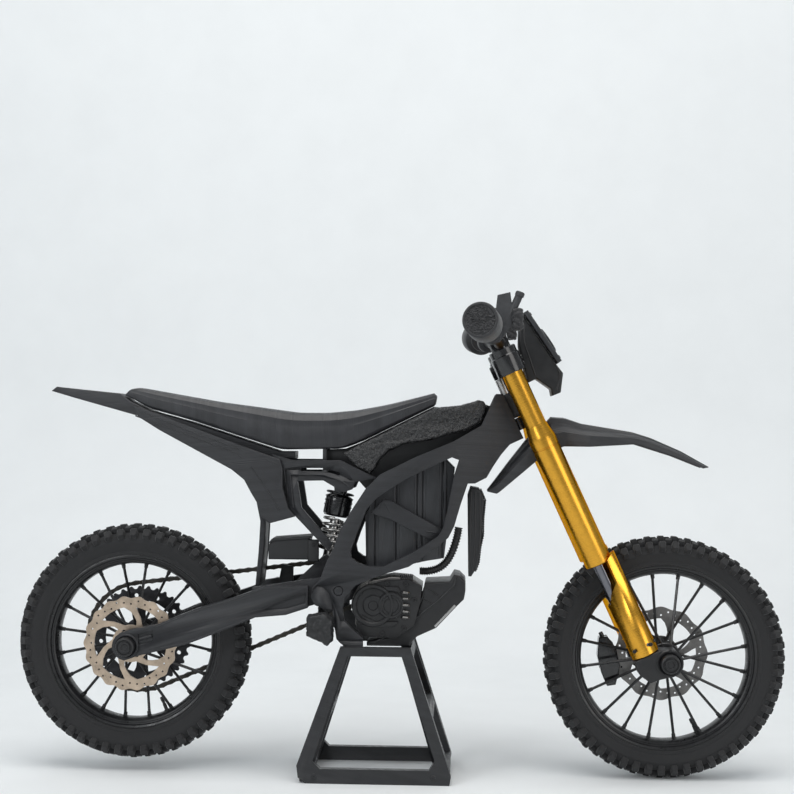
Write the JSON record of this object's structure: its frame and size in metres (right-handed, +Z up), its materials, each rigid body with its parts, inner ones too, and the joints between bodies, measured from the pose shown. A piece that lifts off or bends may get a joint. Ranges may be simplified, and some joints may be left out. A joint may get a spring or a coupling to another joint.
{
  "type": "radio controlled motorcycle",
  "caption": "Quarter-scale radio controlled dirt bike on a paddock stand, with spoked knobbly wheels, gold fork, twin side frames, chain drive and sprung swingarm.",
  "frame": {"origin": "on the ground, midway between the front end of the front tyre and the rear end of the rear tyre, in the bike's middle plane", "axes": "+X towards the front wheel, +Y to the rider's left, +Z up"},
  "size_m": [0.538, 0.2126, 0.3332],
  "materials": {
    "printed_black": "layer-printed, satin",
    "case_black": "ribbed, satin",
    "seat_black": "fine ribbed, satin",
    "rough_cover": "rough, sparkling",
    "gloss_black": "gloss",
    "grip_rubber": "matt",
    "lever_grey": "satin",
    "tyre_rubber": "matt",
    "rim_black": "satin",
    "gold_anodised": "anodised, satin",
    "dark_chrome": "polished",
    "bronze_steel": "brushed",
    "dark_steel": "satin",
    "steel": "brushed"
  },
  "bodies": {
    "chassis": {"frame_right": "printed_black", "frame_left": "printed_black", "frame_brace_right": "printed_black", "frame_brace_left": "printed_black", "head_tube": "printed_black", "battery_case": "case_black", "motor": "dark_steel", "motor_cover": "case_black", "skid_plate": "printed_black", "radiator": "case_black", "coolant_hose": "grip_rubber", "seat": "seat_black", "tank_cover": "rough_cover", "tail_fender": "printed_black", "tail_panel_right": "printed_black", "tail_panel_left": "printed_black", "subframe": "printed_black", "mud_guard": "printed_black", "receiver_box": "printed_black", "footpeg_right": "printed_black", "footpeg_left": "printed_black", "swingarm_pivot_bolt": "steel"},
    "steering": {"lower_triple_clamp": "gloss_black", "upper_triple_clamp": "gloss_black", "steering_stem": "steel", "handlebar": "dark_steel", "headlight_face": "gloss_black", "headlight_shell": "printed_black", "front_fender": "printed_black", "fork_tube_right": "gold_anodised", "fork_tube_left": "gold_anodised", "grip_right": "grip_rubber", "grip_left": "grip_rubber", "lever_right": "lever_grey", "lever_left": "lever_grey"},
    "fork_lower": {"front_axle": "dark_steel", "front_caliper": "gloss_black", "stanchion_right": "dark_chrome", "stanchion_left": "dark_chrome", "fork_guard_right": "gold_anodised", "fork_guard_left": "gold_anodised", "axle_clamp_right": "printed_black", "axle_clamp_left": "printed_black"},
    "front_wheel": {"front_tyre": "tyre_rubber", "front_rim": "rim_black", "front_spokes": "rim_black", "front_brake_disc": "dark_steel"},
    "swingarm_body": {"swingarm": "printed_black", "rear_axle": "dark_steel", "drive_chain": "dark_steel"},
    "rear_wheel": {"rear_tyre": "tyre_rubber", "rear_rim": "rim_black", "rear_spokes": "rim_black", "rear_brake_disc": "bronze_steel", "rear_sprocket": "dark_steel"},
    "sprocket_shaft": {"drive_sprocket": "dark_steel"},
    "shock_upper": {"shock_body": "gloss_black", "shock_spring": "steel"},
    "shock_lower": {"shock_shaft": "steel"},
    "stand_body": {"stand": "printed_black"}
  },
  "joints": [
    {"name": "steering", "type": "hinge", "parent": "chassis", "child": "steering", "pos_m": [0.08926, 0, 0.23321], "axis": [-0.4195, 0, 0.9078], "range_deg": [-25, 25]},
    {"name": "fork_travel", "type": "slide", "parent": "steering", "child": "fork_lower", "axis": [-0.4195, 0, 0.9078], "range_m": [0, 0.0145], "stiffness_N_per_m": 900, "springref_m": -0.012},
    {"name": "front_wheel_spin", "type": "hinge", "parent": "fork_lower", "child": "front_wheel", "pos_m": [0.18497, 0, 0.084], "axis": [0, 1, 0], "continuous": true},
    {"name": "swingarm_pivot", "type": "hinge", "parent": "chassis", "child": "swingarm_body", "pos_m": [-0.04054, 0, 0.13001], "axis": [0, 1, 0], "range_deg": [0, 15], "stiffness_Nm_per_rad": 2, "springref_deg": -11.46},
    {"name": "rear_wheel_spin", "type": "hinge", "parent": "swingarm_body", "child": "rear_wheel", "pos_m": [-0.18657, 0, 0.09006], "axis": [0, 1, 0], "continuous": true},
    {"name": "drive_sprocket_spin", "type": "hinge", "parent": "chassis", "child": "sprocket_shaft", "pos_m": [-0.04054, 0, 0.13001], "axis": [0, 1, 0], "continuous": true},
    {"name": "shock_swing", "type": "hinge", "parent": "chassis", "child": "shock_upper", "pos_m": [-0.04154, 0, 0.20001], "axis": [0, 1, 0], "range_deg": [-5.5, 0]},
    {"name": "shock_stroke", "type": "slide", "parent": "shock_upper", "child": "shock_lower", "axis": [0.1797, 0, 0.9837], "range_m": [0, 0.0045], "deforming": ["shock_spring"]},
    {"name": "stand_lift", "type": "slide", "parent": "chassis", "child": "stand_body", "axis": [0, 0, -1], "range_m": [0, 0.06]}
  ],
  "couplings": [
    {"joint": "drive_sprocket_spin", "follows": "rear_wheel_spin", "ratio": 2.5},
    {"joint": "shock_swing", "follows": "swingarm_pivot", "ratio": -0.3469},
    {"joint": "shock_stroke", "follows": "swingarm_pivot", "m_per_rad": 0.01056}
  ]
}
